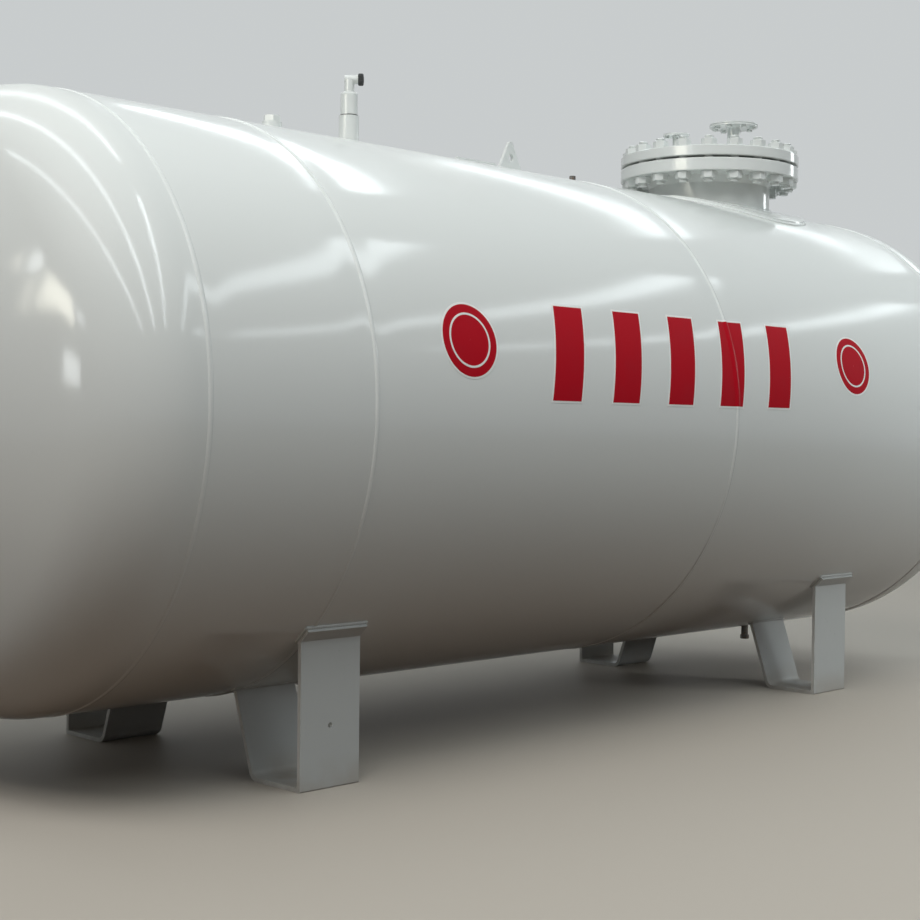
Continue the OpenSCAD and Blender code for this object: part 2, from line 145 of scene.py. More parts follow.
# %% A paint
class Paint:
    """A material with one principled shader, and short ways to add what feeds it."""

    def __init__(self, name, **fixed):
        self.material = bpy.data.materials.new(name)
        self.material.use_nodes = True
        self.tree = self.material.node_tree
        self.shader = self.tree.nodes["Principled BSDF"]
        self.place = self.add("ShaderNodeTexCoord", out="Object")
        self.give(**fixed)

    def add(self, kind, settings=None, sockets=None, out=0):
        node = self.tree.nodes.new(kind)
        for key, value in (settings or {}).items():
            setattr(node, key, value)
        for key, value in (sockets or {}).items():
            self.feed(node.inputs[key], value)
        return Signal(self, node.outputs[out])

    def feed(self, socket, value):
        if isinstance(value, Signal):
            self.tree.links.new(value.socket, socket)
        elif socket.type == "RGBA":
            socket.default_value = (*value, 1.0)
        else:
            socket.default_value = value

    def give(self, **sockets):
        """Values for the shader's own sockets, such as base_color for Base Color."""
        for key, value in sockets.items():
            self.feed(self.shader.inputs[key.replace("_", " ").title().replace("Ior", "IOR")], value)

    def mix(self, share, first, second):
        return self.add("ShaderNodeMix", {"data_type": "RGBA"}, {0: share, 6: first, 7: second}, out=2)

    def cloud(self, scale, detail):
        return self.add("ShaderNodeTexNoise", {}, {"Vector": self.place, "Scale": scale, "Detail": detail})

    def step(self, signal, start, end):
        """0 up to start, 1 from end on, smooth between."""
        limits = {"Value": signal, "From Min": start, "From Max": end}
        return self.add("ShaderNodeMapRange", {"interpolation_type": "SMOOTHSTEP"}, limits)

    def axis(self, letter):
        """The place along X, Y or Z in metres."""
        return self.add("ShaderNodeSeparateXYZ", {}, {0: self.place}, out=letter)

    def facing(self, letter):
        """How far the surface faces X, Y or Z, from -1 to 1."""
        normal = self.add("ShaderNodeNewGeometry", out="Normal")
        return self.add("ShaderNodeSeparateXYZ", {}, {0: normal}, out=letter)

    def seen(self):
        """1 for rays of the eye, the gloss and the glass, 0 for rays that carry light."""
        rays = [self.add("ShaderNodeLightPath", out="Is %s Ray" % kind)
                for kind in ("Camera", "Glossy", "Transmission")]
        return rays[0].by("MAXIMUM", rays[0].by("MAXIMUM", rays[0], rays[1]), rays[2])

    def bump(self, height):
        """Relief from a height in metres."""
        sockets = {"Height": height, "Distance": 1.0, "Strength": 1.0}
        self.give(normal=self.add("ShaderNodeBump", {}, sockets))

# %% [markdown]
# ## White enamel
#
# The tank is sprayed with a gloss white that leans a little to green. Close up such paint is never
# even: it has an orange-peel skin, thin dust lies where the plate looks up, and the gloss dulls in
# clouds. The waves of the plate itself are in the mesh further down, so the bump here stays fine.

# %% Tank enamel
# The second white, used on beads, nuts and studs, is a hair lighter than the sprayed one: partly brush
# paint, and partly a painted highlight for the light that the raised metal catches.
ENAMEL_WHITE, BRUSHED_WHITE_AND_SHEEN = (0.79, 0.815, 0.80), (0.80, 0.825, 0.81)
ENAMEL_DULL, ENAMEL_DUST = (0.70, 0.725, 0.70), (0.62, 0.61, 0.57)

def tank_enamel(name, colour, gloss):
    paint = Paint(name, specular_ior_level=0.55)
    wide, fine = paint.cloud(2.2, 4.0), paint.cloud(34.0, 5.0)
    dust = paint.step(paint.facing("Z"), 0.55, 1.0) * paint.step(wide, 0.35, 0.75)
    specks = paint.step(paint.cloud(140.0, 2.0), 0.70, 0.78) * 0.12
    dull = paint.mix(wide * 0.10, colour, ENAMEL_DULL)
    paint.give(base_color=paint.mix(dust * 0.30 + specks * wide, dull, ENAMEL_DUST))
    paint.give(roughness=fine * 0.05 + wide * 0.05 + dust * 0.16 + gloss)
    paint.bump(paint.cloud(46.0, 2.0) * 0.00010 + paint.cloud(190.0, 1.0) * 0.00002)
    return paint.material

enamel = tank_enamel("tank_enamel", ENAMEL_WHITE, 0.065)
brushed_enamel_and_sheen = tank_enamel("brushed_enamel_and_sheen", BRUSHED_WHITE_AND_SHEEN, 0.12)
print("enamels:", enamel.name, brushed_enamel_and_sheen.name)

# %% [markdown]
# ## Grey paint, rubber, plastic, dark steel and red film
#
# The legs were painted apart, in a plainer light grey with less gloss, and floor dust climbs their
# feet. Their cut edges are drawn in a whiter grey than their faces, as a painted highlight for the
# light that falls on those edges: they point along X, so the share of X in the normal finds them.
# The gasket between flange and cover is black sheet. The cap on the slim valve is moulded plastic,
# the plugs are bare dark steel with a bloom of rust, and the marks are cut from red and white film.

# %% Grey paint of the legs
# The third colour is painted light: the whiter grey of the cut edges stands for light falling on them.
LEG_FACE, LEG_WORN, LEG_LIT_EDGE = (0.55, 0.565, 0.555), (0.47, 0.48, 0.47), (0.88, 0.89, 0.86)
FOOT_DUST, DUST_HEIGHT = (0.42, 0.37, 0.31), 0.10

def leg_paint():
    paint = Paint("leg_grey", specular_ior_level=0.5)
    cloud, grain = paint.cloud(7.0, 5.0), paint.cloud(90.0, 4.0)
    foot = (1.0 - paint.step(paint.axis("Z"), 0.0, DUST_HEIGHT)) * paint.step(cloud, 0.30, 0.62)
    across = paint.facing("X")
    # Painted highlight: where the normal points along X, on the cut edges, the whiter grey goes in.
    lit_edge = paint.step(across.by("ABSOLUTE", across, 0.0), 0.75, 0.95)
    face = paint.mix(cloud * 0.35, LEG_FACE, LEG_WORN)
    tint = paint.mix(lit_edge, face, LEG_LIT_EDGE)
    paint.give(base_color=paint.mix(foot * 0.55, tint, FOOT_DUST))
    paint.give(roughness=grain * 0.12 + foot * 0.3 + 0.24)
    paint.bump(grain * 0.00012 + paint.cloud(22.0, 3.0) * 0.00018)
    return paint.material

# %% Rubber, plastic and bare steel
def rubber():
    paint = Paint("gasket_black", specular_ior_level=0.35)
    grain = paint.cloud(260.0, 4.0)
    paint.give(base_color=paint.mix(grain, (0.018, 0.018, 0.018), (0.045, 0.043, 0.04)))
    paint.give(roughness=grain * 0.25 + 0.55)
    paint.bump(grain * 0.0001)
    return paint.material

def black_plastic():
    paint = Paint("cap_black", specular_ior_level=0.45)
    grain = paint.cloud(400.0, 3.0)
    paint.give(base_color=paint.mix(grain, (0.035, 0.037, 0.038), (0.06, 0.062, 0.063)))
    paint.give(roughness=grain * 0.15 + 0.36)
    paint.bump(grain * 0.00005)
    return paint.material

def dark_steel():
    paint = Paint("plug_steel", specular_ior_level=0.5)
    spots = paint.step(paint.cloud(160.0, 6.0), 0.46, 0.66)
    paint.give(base_color=paint.mix(spots, (0.15, 0.145, 0.14), (0.15, 0.08, 0.045)))
    paint.give(metallic=0.85 - spots * 0.7, roughness=spots * 0.35 + 0.38)
    paint.bump(spots * 0.0002 + paint.cloud(500.0, 2.0) * 0.00004)
    return paint.material

# %% Film
def film(name, colour, worn):
    paint = Paint(name, specular_ior_level=0.03)
    cloud = paint.cloud(11.0, 4.0)
    paint.give(base_color=paint.mix(paint.step(cloud, 0.4, 0.8) * 0.35, colour, worn))
    paint.give(roughness=cloud * 0.10 + 0.28)
    paint.bump(paint.cloud(46.0, 2.0) * 0.00010)
    return paint.material

# %% Make the finishes
grey, black_rubber, plastic, steel = leg_paint(), rubber(), black_plastic(), dark_steel()
red_film = film("red_film", (0.50, 0.007, 0.018), (0.43, 0.014, 0.026))
white_film = film("white_film", (0.93, 0.93, 0.91), (0.88, 0.88, 0.86))
print("finishes made:", [material.name for material in bpy.data.materials][-6:])

# %% [markdown]
# ## Finishes for the solids that stay
#
# Most solids already have the right shape and keep it. They only trade their plain material for a
# finish, by the slot that the record gives them. Cut plate has small rounded arrises, which catch
# the light, and the solids leave them out. Three modifiers add them without touching the mesh: Weld
# joins the faces, which come in split along their creases, Bevel rounds them, and Weighted Normal
# keeps the large faces flat.

# %% Assign finishes
FINISHES = {"tank_paint": enamel, "leg_paint": grey, "gasket_rubber": black_rubber,
            "dark_plastic": plastic, "dark_steel": steel}
slots = {part["node"]: part["material_slot"] for part in frame["record"]["subparts"]}
for name, node in nodes.items():
    node.data.materials.clear()
    node.data.materials.append(FINISHES[slots[name]])
print("finishes:", {slot: sum(1 for s in slots.values() if s == slot) for slot in FINISHES})

# %% Round the arrises of cut plate
LEGS = ("leg_front_left", "leg_front_right", "leg_back_left", "leg_back_right")
ARRISES = {**dict.fromkeys(LEGS, 0.0016), "lug_strip": 0.0010, "manhole_pad": 0.0010,
           "large_nozzle_flange": 0.0008, "large_nozzle_blind": 0.0008,
           "small_nozzle_flange": 0.0006, "small_nozzle_blind": 0.0006}
SAME_POINT, ARRIS_FACES, ARRIS_ANGLE = 0.00001, 3, math.radians(40)

def soften(node, width):
    """Round a solid's sharp edges by modifiers alone."""
    node.modifiers.new("joined", "WELD").merge_threshold = SAME_POINT
    arris = node.modifiers.new("arris", "BEVEL")
    arris.width, arris.segments = width, ARRIS_FACES
    arris.limit_method, arris.angle_limit = "ANGLE", ARRIS_ANGLE
    node.modifiers.new("flat_faces", "WEIGHTED_NORMAL").keep_sharp = True

for name, width in ARRISES.items():
    soften(nodes[name], width)
print("rounded arrises on", len(ARRISES), "solids")

# %% [markdown]
# ## One way to make a mesh
#
# Nearly every piece below is a net of points: rows along something, columns round it. One helper
# joins such a net into quads, closing it round the rows, the columns or both, and one more puts a
# face over each end of a tube. The last makes a net a piece: smooth, with edges kept sharp past an
# angle, riding on the body.

# %% Nets and pieces
def net_faces(rows, columns, first=0, round_rows=False, round_columns=True):
    """Quads of a net of points whose numbers start at first."""
    faces = []
    for r in range(rows if round_rows else rows - 1):
        for c in range(columns if round_columns else columns - 1):
            r2, c2 = (r + 1) % rows, (c + 1) % columns
            faces.append([first + r * columns + c, first + r * columns + c2,
                          first + r2 * columns + c2, first + r2 * columns + c])
    return faces

def capped_net(rows, columns):
    """Quads of a tube of points, with a face over each of its two ends."""
    last = (rows - 1) * columns
    return net_faces(rows, columns) + [list(range(columns)), list(range(last, last + columns))]

def make_piece(name, points, faces, finish, slot, sharp=35.0, stands_for=()):
    mesh = bpy.data.meshes.new(name)
    mesh.from_pydata(np.asarray(points, float).reshape(-1, 3).tolist(), [], faces)
    work = bmesh.new()
    work.from_mesh(mesh)
    bmesh.ops.recalc_face_normals(work, faces=work.faces)
    work.to_mesh(mesh)
    work.free()
    mesh.shade_smooth()
    mesh.set_sharp_from_angle(angle=math.radians(sharp))
    mesh.materials.append(finish)
    piece = bpy.data.objects.new(name, mesh)
    bpy.context.scene.collection.objects.link(piece)
    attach(piece, "root")
    if stands_for:
        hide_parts(*stands_for)
    print(name + ":", sum(len(f) - 2 for f in faces), "triangles")
    return piece

def join_nets(nets):
    """Several (points, faces) nets as one, each with its own point numbers moved up."""
    points, faces = [], []
    for net_points, net in nets:
        first = len(points)
        points.extend(np.asarray(net_points, float).reshape(-1, 3).tolist())
        faces.extend([[first + i for i in face] for face in net])
    return points, faces

# %% [markdown]
# ## A plate that was rolled and welded
#
# A perfect cylinder in gloss white looks like plastic, because its highlights run dead straight.
# Real rings are a little flat in places, and each weld shrinks and pulls the plates in beside it.
# The skin is a fresh net with both: a few long waves, and a dip of a millimetre at each seam. Both
# only go inwards, so the skin stays inside the true cylinder, and every later piece asks the same
# function where the plate really is.

# %% How far the plate lies inside the true cylinder
WELD_PULL, PULL_REACH = 0.0013, 0.050
WAVE_DEPTH = 0.0005
WAVES = 7
WAVE_SEED = 7
draws = np.random.default_rng(WAVE_SEED)
wave_rows = [(draws.uniform(0.8, 6.5), draws.integers(1, 8), draws.uniform(0, math.tau))
             for _ in range(WAVES * (len(SEAMS) + 1))]

def plate_drop(x, turn):
    """Depth of the plate under the true radius at x, turn radians up from the front."""
    near = np.min([np.abs(x - seam) for seam in SEAMS], axis=0)
    ring = np.sum([x > seam for seam in SEAMS], axis=0)
    wave = np.zeros(np.broadcast(x, turn).shape)
    for i, (along, around, phase) in enumerate(wave_rows):
        wave = wave + (ring == i // WAVES) * np.sin(along * x + around * turn + phase) / WAVES
    return WELD_PULL * np.exp(-(near / PULL_REACH) ** 2) + WAVE_DEPTH * (1.0 + wave)

def on_tank(x, turn, out=0.0):
    """The point at x and turn, out metres over the true cylinder."""
    reach = RADIUS + out
    return np.stack(np.broadcast_arrays(x, -reach * np.cos(turn), AXIS_Z + reach * np.sin(turn)), axis=-1)

middle = np.linspace(SEAMS[1], SEAMS[2], 400)
drops = plate_drop(middle, middle * 0) * 1000
print("plate drop on the middle ring, mm:", drops.min().round(2), "to", drops.max().round(2))

# %% [markdown]
# ## The three rings
#
# Each ring is one net closed both ways: out along the plate, over its end, back along the inside.
# Rows crowd near the seams, where the dip bends fastest; a cosine spacing does that by itself.

# %% Ring skins
PLATE = 0.010
RING_ROWS = {"left": 40, "middle": 100, "right": 100}
TURNS = np.linspace(0, math.tau, 288, endpoint=False)

def ring_skin(name, start, end, rows, node):
    """The skin of one ring from seam to seam, in place of its solid."""
    along = start + (end - start) * (1 - np.cos(np.linspace(0, math.pi, rows))) / 2
    outer = on_tank(along[:, None], TURNS[None], -plate_drop(along[:, None], TURNS[None]))
    inner = on_tank(np.array([[end], [start]]), TURNS[None], -PLATE)
    net = np.concatenate([outer, inner])
    make_piece(name, net, net_faces(len(net), len(TURNS), round_rows=True), enamel, "tank_paint",
               stands_for=[node])

for k, (place, rows) in enumerate(RING_ROWS.items()):
    ring_skin("skin_ring_" + place, SEAMS[k], SEAMS[k + 1], rows, "shell_course_" + place)

# %% [markdown]
# ## The dished ends
#
# A dished end is pressed from one round plate: a shallow crown, a tight knuckle and a short
# straight rim that is welded to the ring. Three values give its outline, and walking along the
# three stretches by arc length spaces the rows evenly, so that the knuckle keeps its curve.

# %% Head skins
CROWN_R, KNUCKLE_R, STRAIGHT = 0.9 * 2 * RADIUS, 0.17 * 2 * RADIUS, 0.038
STRAIGHT_ROWS, KNUCKLE_ROWS, CROWN_ROWS, TIP_TURN = 8, 34, 60, 0.004
DIP_LEFT = 0.02
crown_mid = STRAIGHT - math.sqrt((CROWN_R - KNUCKLE_R) ** 2 - (RADIUS - KNUCKLE_R) ** 2)
join_turn = math.asin((RADIUS - KNUCKLE_R) / (CROWN_R - KNUCKLE_R))

def head_outline(inset):
    """Points (radius, distance from the weld) from the rim to near the middle."""
    knuckle = np.linspace(math.pi / 2, join_turn, KNUCKLE_ROWS)
    crown = np.linspace(join_turn, TIP_TURN, CROWN_ROWS)[1:]
    bend, dome = KNUCKLE_R - inset, CROWN_R - inset
    points = [(RADIUS - inset, d) for d in np.linspace(0.0, STRAIGHT, STRAIGHT_ROWS)[:-1]]
    points += [(RADIUS - KNUCKLE_R + bend * math.sin(a), STRAIGHT + bend * math.cos(a)) for a in knuckle]
    points += [(dome * math.sin(a), crown_mid + dome * math.cos(a)) for a in crown]
    return np.array(points)

def head_skin(name, seam, side, node):
    """The skin of one dished end; side is -1 or 1, the way in which it bulges along X."""
    outer, inner = head_outline(0.0), head_outline(PLATE)[::-4]
    rows = []
    for radius, reach in outer:
        x = seam + side * reach
        drop = plate_drop(np.full(TURNS.shape, x), TURNS) * min(1.0, radius / RADIUS + DIP_LEFT)
        flat = on_tank(x, TURNS, radius - RADIUS - drop)
        flat[:, 0] -= side * drop * (1.0 - radius / RADIUS)
        rows.append(flat)
    rows += [on_tank(seam + side * reach, TURNS, radius - RADIUS) for radius, reach in inner]
    net, count = np.array(rows), len(TURNS)
    faces = net_faces(len(outer), count) + net_faces(len(inner), count, first=len(outer) * count)
    tips = [len(outer) - 1, len(outer)]
    faces += [[tip * count + c for c in range(count)] for tip in tips]
    last = (len(net) - 1) * count
    faces += [[c, (c + 1) % count, last + (c + 1) % count, last + c] for c in range(count)]
    make_piece(name, net, faces, enamel, "tank_paint", stands_for=[node])

head_skin("skin_head_left", SEAMS[0], -1, "head_left")
head_skin("skin_head_right", SEAMS[3], 1, "head_right")

# %% [markdown]
# ## Weld beads
#
# A bead is metal laid in small steps, each step a little scale over the last one. A net swept
# along the seam, with its size swelling and shrinking once per step, gives those ripples. The round
# seams are low and wide, lower still at the two ends, where they were dressed with a grinder. Where
# one plate stands on another, a thicker bead fills the corner.

# %% Sweep a bead along a path
RIPPLE, RIPPLE_STEP, BEAD_SIDES, SPACING = 0.10, 0.0075, 8, 0.002
BEAD_SHARP = 60

def bead_net(path, wide, tall, outward, closed=True):
    """A rippled bead along path; outward gives the way that its top faces at each point."""
    path, outward = np.asarray(path, float), np.asarray(outward, float)
    ahead = np.roll(path, -1, 0) - np.roll(path, 1, 0)
    if not closed:
        ahead[0], ahead[-1] = path[1] - path[0], path[-1] - path[-2]
    side = np.cross(ahead, outward)
    side /= np.linalg.norm(side, axis=1)[:, None]
    top = np.cross(side, ahead)
    top /= np.linalg.norm(top, axis=1)[:, None]
    run = np.concatenate([[0], np.cumsum(np.linalg.norm(np.diff(path, axis=0), axis=1))])
    swell = (1.0 - RIPPLE * np.abs(np.sin(math.pi * run / RIPPLE_STEP)))[:, None, None]
    around = np.linspace(0, math.tau, BEAD_SIDES, endpoint=False)[None, :, None]
    across, over = wide * np.cos(around) * side[:, None], tall * np.sin(around) * top[:, None]
    points = path[:, None] + swell * (across + over)
    if closed:
        return points, net_faces(len(path), BEAD_SIDES, round_rows=True)
    return points, capped_net(len(path), BEAD_SIDES)

def spaced(corners):
    """The closed path through those corners, with a point every SPACING metres."""
    corners = np.asarray(corners, float)
    corners = np.concatenate([corners, corners[:1]])
    lengths = np.linalg.norm(np.diff(corners, axis=0), axis=1)
    run = np.concatenate([[0], np.cumsum(lengths)])
    at = np.linspace(0, run[-1], int(run[-1] / SPACING), endpoint=False)
    return np.stack([np.interp(at, run, corners[:, i]) for i in range(3)], axis=1)

def from_axis(points):
    """At each point, the way straight out from the tank's axis."""
    away = np.asarray(points, float).copy()
    away[:, 0], away[:, 2] = 0, away[:, 2] - AXIS_Z
    return away / np.linalg.norm(away, axis=1)[:, None]

# %% Round seams
SEAM_WIDE, SEAM_TALL, END_SHARE = 0.0075, 0.0034, 0.75
SEAM_POINTS = 2400
turns = np.linspace(0, math.tau, SEAM_POINTS, endpoint=False)
for number, seam in enumerate(SEAMS, start=1):
    x = np.full(turns.shape, seam)
    path = on_tank(x, turns, -plate_drop(x, turns))
    tall = SEAM_TALL * (END_SHARE if number in (1, len(SEAMS)) else 1.0)
    points, faces = bead_net(path, SEAM_WIDE, tall, from_axis(path))
    make_piece("bead_round_%d" % number, points, faces, brushed_enamel_and_sheen, "tank_paint", sharp=BEAD_SHARP,
               stands_for=["girth_weld_%d" % number])

# %% Seams along the rings
LONG_WIDE, LONG_TALL = SEAM_WIDE * 0.85, SEAM_TALL * 0.9
for name in ("left", "middle", "right"):
    low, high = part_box("long_weld_" + name)
    turn = math.atan2((low.z + high.z) / 2 - AXIS_Z, -(low.y + high.y) / 2)
    along = np.arange(low.x, high.x, SPACING)
    path = on_tank(along, np.full(along.shape, turn), -plate_drop(along, turn))
    points, faces = bead_net(path, LONG_WIDE, LONG_TALL, from_axis(path), closed=False)
    make_piece("bead_long_" + name, points, faces, brushed_enamel_and_sheen, "tank_paint", sharp=BEAD_SHARP,
               stands_for=["long_weld_" + name])

# %% [markdown]
# ## Corner welds
#
# Whatever stands on the shell is welded round its foot. For an upright pipe that line is a circle
# bent over the cylinder; for the lug and the flat bar it is a bent rectangle. Where a leg touches
# the shell, its own solid tells: its corners at exactly the shell's radius mark two bands, one under
# the lip and one under the sloping plate, and each band gets a weld all round.

# %% Paths round the feet
PLAN_POINTS = 240

def lift(points, radius):
    """Plan points (x, y) put on a cylinder of that radius about the tank's axis."""
    x, y = np.asarray(points, float).T
    return np.stack([x, y, AXIS_Z + np.sqrt(radius ** 2 - y ** 2)], axis=1)

def ring_plan(node):
    """The outline of an upright pipe on the centre line, seen from above."""
    low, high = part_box(node)
    x, radius = (low.x + high.x) / 2, (high.x - low.x) / 2
    turns = np.linspace(0, math.tau, PLAN_POINTS, endpoint=False)
    return np.stack([x + radius * np.cos(turns), radius * np.sin(turns)], axis=1)

def box_plan(low, high):
    """The outline of a box seen from above, with points close enough to bend over the shell."""
    corners = [(low.x, low.y, 0), (high.x, low.y, 0), (high.x, high.y, 0), (low.x, high.y, 0)]
    return spaced(corners)[:, :2]

def round_foot(node, radius, size):
    """Weld round a pipe that stands on a cylinder of that radius."""
    path = spaced(lift(ring_plan(node), radius))
    return bead_net(path, size, size, from_axis(path))

def flat_ring(node, z, size):
    """Weld round a pipe where a flat plate crosses it at height z."""
    plan = ring_plan(node)
    path = spaced(np.column_stack([plan, np.full(len(plan), z)]))
    return bead_net(path, size, size, np.tile((0.0, 0.0, 1.0), (len(path), 1)))

# %% Welds of the fittings, the manhole and its nozzles
SMALL_BEAD, BIG_BEAD = 0.0042, 0.0068
pad_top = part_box("manhole_pad")[1].z - AXIS_Z
PIPE_WELDS = [("large_nozzle_pipe", COVER_TOP, 1.0), ("small_nozzle_pipe", COVER_TOP, 0.8),
              ("large_nozzle_pipe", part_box("large_nozzle_flange")[0].z, 0.8),
              ("small_nozzle_pipe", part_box("small_nozzle_flange")[0].z, 0.6)]
small_welds = [round_foot(name, RADIUS, SMALL_BEAD) for name in ("valve_base", "top_coupling")]
small_welds += [flat_ring(pipe, z, SMALL_BEAD * share) for pipe, z, share in PIPE_WELDS]
for name in ("lifting_lug", "lug_strip"):
    path = lift(box_plan(*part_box(name)), RADIUS)
    small_welds.append(bead_net(path, SMALL_BEAD, SMALL_BEAD, from_axis(path)))
make_piece("bead_fittings", *join_nets(small_welds), brushed_enamel_and_sheen, "tank_paint", sharp=BEAD_SHARP)

big_welds = [round_foot("manhole_pad", RADIUS, BIG_BEAD), round_foot("manhole_neck", pad_top, BIG_BEAD)]
make_piece("bead_manhole", *join_nets(big_welds), brushed_enamel_and_sheen, "tank_paint", sharp=BEAD_SHARP)

# %% Welds of the legs
TOUCH = 0.0002

def touch_bands(node):
    """The two bands of turn where a leg lies on the shell, in radians from the front."""
    points = np.array([v.co for v in nodes[node].data.vertices])
    reach = np.hypot(points[:, 1], points[:, 2] - AXIS_Z)
    on = points[np.abs(reach - RADIUS) < TOUCH]
    turns = np.sort(np.arctan2(on[:, 2] - AXIS_Z, -on[:, 1]) % math.tau)
    gap = int(np.argmax(np.diff(turns)))
    return (turns[0], turns[gap]), (turns[gap + 1], turns[-1])

leg_welds = []
for node in LEGS:
    low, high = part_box(node)
    for start, end in touch_bands(node):
        corners = [(low.x, start), (high.x, start), (high.x, end), (low.x, end)]
        flat = spaced([(x, turn * RADIUS, 0.0) for x, turn in corners])
        path = on_tank(flat[:, 0], flat[:, 1] / RADIUS)
        leg_welds.append(bead_net(path, BIG_BEAD, BIG_BEAD * 0.8, from_axis(path)))
    print(node, [tuple(round(math.degrees(t), 1) for t in band) for band in touch_bands(node)])
make_piece("bead_legs", *join_nets(leg_welds), grey, "leg_paint", sharp=BEAD_SHARP)

# %% [markdown]
# ## Nuts and studs
#
# A nut is a six-sided bar turned down at both faces by a cone. Seen from the side the cone leaves a
# shallow arc on each flat. At any turn the bar's half width is known, so the height at which the
# cone meets it is known too, and four rings of points give the true form with no boolean.

# %% A capped tube about an upright line
def upright_net(x, y, rings, turns):
    """Rings are (radius, height), each one number or one for each turn."""
    points = [np.stack([x + r * np.cos(turns), y + r * np.sin(turns), z + 0 * turns], axis=1)
              for r, z in rings]
    return np.array(points), capped_net(len(points), len(turns))

# %% Nut net
NUT_POINTS, CONE_SHARE, CONE_SLOPE = 48, 0.97, math.tan(math.radians(30))
FASTENER_SHARP = 20

def nut_net(x, y, foot, flats, height):
    """A hexagon nut or head with both faces turned down, standing at height foot."""
    turns = np.linspace(0, math.tau, NUT_POINTS, endpoint=False)
    bar = flats / 2 / np.cos((turns % (math.pi / 3)) - math.pi / 6)
    face = flats / 2 * CONE_SHARE
    cut = (bar - face) * CONE_SLOPE
    rings = [(face, foot), (bar, foot + cut), (bar, foot + (height - cut)), (face, foot + height)]
    return upright_net(x, y, rings, turns)

# %% Stud net
STUD_POINTS = 24

def stud_net(x, y, radius, bottom, top, pitch, threaded):
    """A stud with its thread cut as rings over a length at both ends, and bevelled ends."""
    depth = pitch * 0.6
    teeth = int(threaded / pitch)
    end = [(radius - depth, 0.0), (radius, depth * 0.8)]
    for tooth in range(teeth):
        z = depth + (tooth + 0.4) * pitch
        end += [(radius, z), (radius - depth, z + pitch * 0.3), (radius, z + pitch * 0.6)]
    outline = [(r, bottom + z) for r, z in end] + [(r, top - z) for r, z in reversed(end)]
    return upright_net(x, y, outline, np.linspace(0, math.tau, STUD_POINTS, endpoint=False))

# %% Places round a bolt circle
def bolt_circle(mount, shift=0.0):
    """Places (x, y) of a mount's bolts; shift turns them on by that share of a step."""
    dims, (x, y, _) = mounts[mount]["dims"], mounts[mount]["pos_m"]
    reach = dims["pcd_mm"] / 2000
    turns = [math.tau * (k + shift) / dims["count"] for k in range(dims["count"])]
    return [(x + reach * math.cos(turn), y + reach * math.sin(turn)) for turn in turns]

# %% Manhole studs
NUT_FLATS, NUT_HEIGHT, STUD_RADIUS, STUD_PITCH, STUD_OUT = 0.050, 0.026, 0.0165, 0.0035, 0.011
FLANGE_HUB = 0.028
flange_low, cover_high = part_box("manhole_flange")[0].z + FLANGE_HUB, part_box("manhole_cover")[1].z
nuts, studs = [], []
for x, y in bolt_circle("manhole_bolts"):
    nuts.append(nut_net(x, y, cover_high, NUT_FLATS, NUT_HEIGHT))
    nuts.append(nut_net(x, y, flange_low - NUT_HEIGHT, NUT_FLATS, NUT_HEIGHT))
    studs.append(stud_net(x, y, STUD_RADIUS, flange_low - NUT_HEIGHT - STUD_OUT,
                          cover_high + NUT_HEIGHT + STUD_OUT, STUD_PITCH, STUD_OUT))
make_piece("manhole_nuts", *join_nets(nuts), brushed_enamel_and_sheen, "tank_paint", sharp=FASTENER_SHARP)
make_piece("manhole_studs", *join_nets(studs), brushed_enamel_and_sheen, "tank_paint", sharp=FASTENER_SHARP)

# %% [markdown]
# ## Screws of the two nozzles
#
# Their heads sit under the thin flanges, where they show from the floor, and the shanks end level
# with the top of the blind, so nothing stands over the highest solid.

# %% Nozzle screws
SCREW_PLAY, SCREW_LAP, SCREW_SUNK = 0.001, 0.001, 0.0003
SCREW_PITCH, SCREW_THREAD = 0.0018, 0.004
LARGE_HEAD, SMALL_HEAD = (0.019, 0.009), (0.016, 0.007)

def nozzle_screws(name, mount, flange, flats, height):
    """One screw in each hole of a mount; flats and height are those of its head."""
    under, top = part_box(flange)[0].z, mounts[mount]["pos_m"][2] - SCREW_SUNK
    radius = mounts[mount]["dims"]["hole_r_mm"] / 1000 - SCREW_PLAY
    nets = []
    for x, y in bolt_circle(mount, shift=0.5):
        nets.append(nut_net(x, y, under - height, flats, height))
        nets.append(stud_net(x, y, radius, under - SCREW_LAP, top, SCREW_PITCH, SCREW_THREAD))
    make_piece(name, *join_nets(nets), brushed_enamel_and_sheen, "tank_paint", sharp=FASTENER_SHARP)

nozzle_screws("large_nozzle_screws", "large_nozzle_bolts", "large_nozzle_flange", *LARGE_HEAD)
nozzle_screws("small_nozzle_screws", "small_nozzle_bolts", "small_nozzle_flange", *SMALL_HEAD)

# %% [markdown]
# ## The slim valve
#
# The valve is painted over like the tank and screwed on a pipe stub. Dark sealing shows as a thin
# line at the joint. Its side cap is a black moulding with grip ribs: a disc whose edge goes in and
# out, which is again a net, only with a radius that depends on the turn.

# %% Turned net with ribs
def turned_net(centre, axis, outline, count=64, ribs=0, rib_depth=0.0):
    """A turned body about axis; outline is (radius, distance along the axis, whether ribbed)."""
    axis = Vector(axis).normalized()
    side = axis.orthogonal().normalized()
    other = axis.cross(side)
    turns = np.linspace(0, math.tau, count, endpoint=False)
    rib = 1.0 - rib_depth * (0.5 - 0.5 * np.cos(ribs * turns))
    points = []
    for radius, along, ribbed in outline:
        reach = radius * (rib if ribbed else 1.0)
        across = np.outer(reach * np.cos(turns), side) + np.outer(reach * np.sin(turns), other)
        points.append(across + np.array(centre) + along * np.array(axis))
    return np.array(points), capped_net(len(points), count)

# %% Valve joint
base_low, base_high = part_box("valve_base")
joint_foot = ((base_low.x + base_high.x) / 2, 0, base_high.z)
joint = [(0.0262, -0.0005, False), (0.0272, 0.0005, False),
         (0.0272, 0.0025, False), (0.0262, 0.0034, False)]
make_piece("valve_joint", *turned_net(joint_foot, (0, 0, 1), joint), black_rubber, "gasket_rubber")

